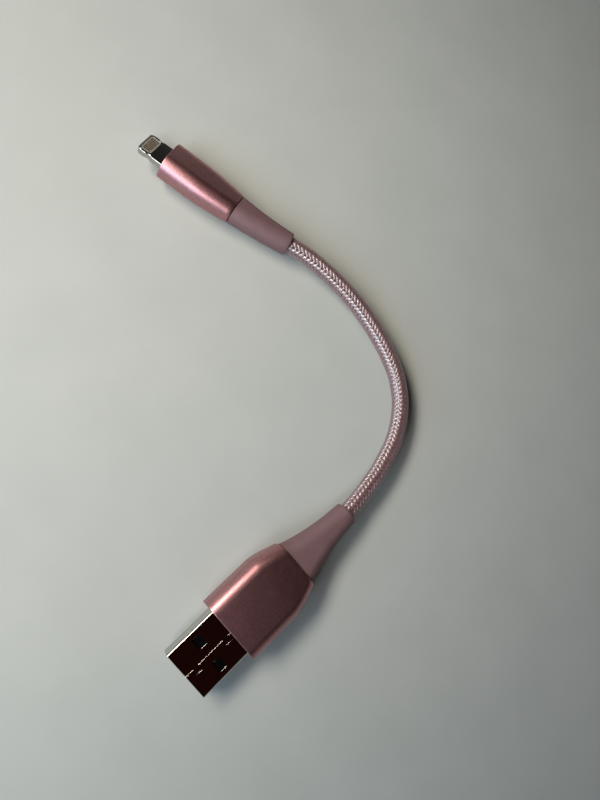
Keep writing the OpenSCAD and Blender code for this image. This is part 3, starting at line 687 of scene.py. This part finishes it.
BACKDROP = (0.42, 0.43, 0.4)
WALLS = (0.03, 0.028, 0.028)
CEILING = (0.015, 0.003, 0.002)
SHEET_HALF = 0.45
SHEET_FADES = (0.18, 0.36)  # distances at which it starts and ends


def seen_ray(made, *kinds):
    """One for a ray of any of these kinds, otherwise zero."""
    rays = add(made, "LightPath")
    seen = rays.outputs[kinds[0]]
    for kind in kinds[1:]:
        seen = maths(made, "MAXIMUM", seen, rays.outputs[kind])
    return seen


def fade_out(made):
    """Turns the sheet into the backdrop far from the cable, and lights nothing."""
    place = add(made, "TexCoord")
    reach = add(made, "VectorMath", operation="LENGTH")
    join(made, place.outputs["Object"], reach.inputs[0])
    far = spread(made, reach.outputs["Value"], 0, 1, SHEET_FADES)
    seen = seen_ray(made, "Is Camera Ray", "Is Glossy Ray", "Is Transmission Ray")
    glow = add(made, "Emission", Color=(*BACKDROP, 1))
    mix = add(made, "MixShader")
    join(made, maths(made, "MULTIPLY", far, seen), mix.inputs[0])
    join(made, shader_of(made).outputs[0], mix.inputs[1])
    join(made, glow.outputs[0], mix.inputs[2])
    join(made, mix.outputs[0], made.node_tree.nodes["Material Output"].inputs["Surface"])


def paper():
    made = finish_of("paper", (0.46, 0.49, 0.46), 0.9, specular=0.2)
    tint(made, spread(made, grain(made, 60), 0, 1), (0.445, 0.475, 0.447), (0.47, 0.5, 0.472))
    bumps(made, grain(made, 1500), 0.1, 0.00005)
    fade_out(made)
    bm = bmesh.new()
    bmesh.ops.create_grid(bm, x_segments=4, y_segments=4, size=SHEET_HALF)
    mesh = bpy.data.meshes.new("paper")
    bm.to_mesh(mesh)
    bm.free()
    sheet = bpy.data.objects.new("paper", mesh)
    mesh.materials.append(made)
    bpy.context.collection.objects.link(sheet)


# Name, azimuth, elevation, distance, size, power, colour, the spot on the paper
# that it looks at, and how widely it shines
LAMPS = [
    ("window", 161, 45, 0.34, (0.27, 0.085), 0.43, (1.0, 0.9, 0.8), (-0.03, 0), 100),
    ("doorway", 220, 42, 0.34, (0.15, 0.2), 0.05, (1.0, 0.95, 0.9), (-0.011, 0.05), 50),
    ("sky", 205, 28, 0.5, (0.45, 0.28), 1.2, (0.35, 0.65, 1.0), (0, 0), 180),
]


def hang_lamp(name, azimuth, elevation, distance, size, power, colour, spot, width):
    """A soft rectangular light that looks at a spot near the cable."""
    data = bpy.data.lights.new(name, "AREA")
    data.spread = math.radians(width)
    data.shape = "RECTANGLE"
    data.size, data.size_y = size
    data.energy = power
    data.color = colour
    lamp = bpy.data.objects.new(name, data)
    bpy.context.collection.objects.link(lamp)
    a, e = math.radians(azimuth), math.radians(elevation)
    place = distance * Vector((math.cos(a) * math.cos(e), math.sin(a) * math.cos(e),
                               math.sin(e)))
    turn = (place - Vector((*spot, 0))).to_track_quat("Z", "Y")
    lamp.matrix_world = Matrix.Translation(place) @ turn.to_matrix().to_4x4()


def room():
    """Dim walls, a dark ceiling, and a pale backdrop that lights nothing."""
    world = bpy.data.worlds.new("room")
    world.use_nodes = True
    bpy.context.scene.world = world
    place = add(world, "TexCoord")
    parts = add(world, "SeparateXYZ")
    join(world, place.outputs["Generated"], parts.inputs[0])

    def ramp(*stops):
        node = add(world, "ValToRGB")
        join(world, parts.outputs[2], node.inputs[0])
        while len(node.color_ramp.elements) < len(stops):
            node.color_ramp.elements.new(0.5)
        for element, (height, colour) in zip(node.color_ramp.elements, stops):
            element.position = height
            element.color = (*colour, 1)
        return node.outputs[0]

    lights = ramp((0.3, WALLS), (0.8, CEILING))
    mirrors = ramp((0.12, BACKDROP), (0.3, WALLS), (0.8, CEILING))
    mirrored = mixed(world, seen_ray(world, "Is Glossy Ray", "Is Transmission Ray"),
                     lights, mirrors)
    shown = mixed(world, seen_ray(world, "Is Camera Ray"), mirrored, BACKDROP)
    join(world, shown, world.node_tree.nodes["Background"].inputs["Color"])


paper()
for lamp in LAMPS:
    hang_lamp(*lamp)
room()
bpy.context.scene.view_settings.view_transform = "Standard"
